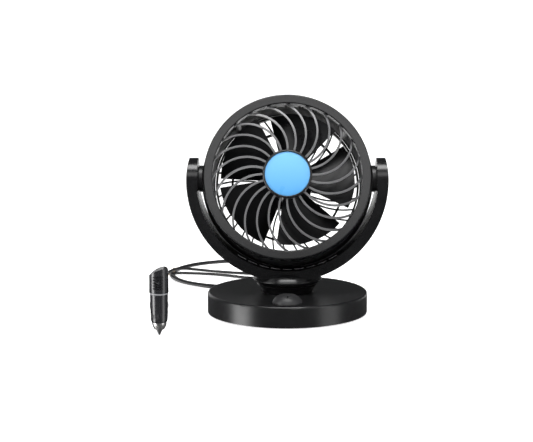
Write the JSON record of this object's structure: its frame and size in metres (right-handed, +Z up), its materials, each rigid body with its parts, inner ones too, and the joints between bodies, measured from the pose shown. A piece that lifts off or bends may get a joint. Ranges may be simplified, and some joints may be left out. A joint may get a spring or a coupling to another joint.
{
  "type": "car dashboard fan",
  "caption": "Small round fan on a swivelling C-shaped yoke and disc base, with swirl grille, speed knob, coiled 12 V lead and lighter-socket plug.",
  "frame": {"origin": "middle of the base's underside, on the surface that the fan stands on", "axes": "+Z up, -Y towards the front of the fan, +X to the right seen from the front"},
  "size_m": [0.243, 0.3919, 0.2153],
  "materials": {
    "gloss_black": "gloss moulded",
    "satin_black": "satin moulded",
    "grille_grey": "semi-gloss moulded",
    "blade_black": "semi-gloss moulded",
    "plug_plastic": "gloss moulded",
    "badge_blue": "gloss printed disc",
    "foot_rubber": "soft pad",
    "cord_rubber": "satin jacket",
    "tie_plastic": "paper-covered wire",
    "nylon": "natural",
    "steel": "plated",
    "screw_steel": "plated",
    "iron": "laminated",
    "magnet": "ferrite",
    "bronze": "sintered",
    "nickel": "nickel plated",
    "fuse_glass": "clear"
  },
  "bodies": {
    "base": {"base_cover": "gloss_black", "base_plate": "satin_black", "foot_pad": "foot_rubber", "ballast_disc": "steel", "base_screws": "screw_steel", "neck_collar": "gloss_black", "swivel_washer": "nylon", "switch_body": "satin_black", "cord_gland": "cord_rubber", "cord_lead_base": "cord_rubber", "cord_coil": "cord_rubber", "cord_lead_plug": "cord_rubber", "cord_tie": "tie_plastic", "plug_body": "plug_plastic", "plug_collar": "plug_plastic", "plug_cap": "plug_plastic", "plug_relief": "cord_rubber", "nose_ring": "nickel", "plug_fuse": "fuse_glass"},
    "knob": {"knob": "satin_black", "switch_shaft": "nylon"},
    "yoke": {"yoke": "gloss_black", "swivel_spindle": "steel", "swivel_nut": "screw_steel", "swivel_spring_washer": "steel", "tilt_pins": "screw_steel", "friction_washers": "nylon", "arm_cap_left": "gloss_black", "arm_cap_right": "gloss_black"},
    "head": {"front_bezel": "satin_black", "front_grille": "grille_grey", "hub_ring": "gloss_black", "hub_badge": "badge_blue", "rear_shell": "satin_black", "rear_guard": "satin_black", "motor_can": "steel", "motor_end_cap": "nylon", "motor_magnets": "magnet", "motor_bearings": "bronze", "motor_screws": "screw_steel", "head_screws": "screw_steel"},
    "rotor": {"motor_shaft": "steel", "armature": "iron", "impeller": "blade_black", "impeller_clip": "nylon"},
    "plug_tip": {"plug_tip": "nickel"},
    "contact_left": {"side_contact_left": "nickel"},
    "contact_right": {"side_contact_right": "nickel"}
  },
  "joints": [
    {"name": "yoke_swivel", "type": "hinge", "parent": "base", "child": "yoke", "pos_m": [0, 0, 0.0302], "axis": [0, 0, 1], "range_deg": [-170, 170]},
    {"name": "head_tilt", "type": "hinge", "parent": "yoke", "child": "head", "pos_m": [0, 0, 0.1335], "axis": [-1, 0, 0], "range_deg": [-48, 72]},
    {"name": "rotor_spin", "type": "hinge", "parent": "head", "child": "rotor", "pos_m": [0, 0, 0.1335], "axis": [0, -0.9511, 0.309], "continuous": true},
    {"name": "speed_knob", "type": "hinge", "parent": "base", "child": "knob", "pos_m": [0, -0.0617, 0.0216], "axis": [0, 0, -1], "range_deg": [0, 120]},
    {"name": "tip_press", "type": "slide", "parent": "base", "child": "plug_tip", "axis": [0, 0, 1], "range_m": [0, 0.004], "stiffness_N_per_m": 500},
    {"name": "contact_left_press", "type": "slide", "parent": "base", "child": "contact_left", "axis": [1, 0, 0], "range_m": [0, 0.0008], "stiffness_N_per_m": 1500},
    {"name": "contact_right_press", "type": "slide", "parent": "base", "child": "contact_right", "axis": [-1, 0, 0], "range_m": [0, 0.0008], "stiffness_N_per_m": 1500}
  ]
}
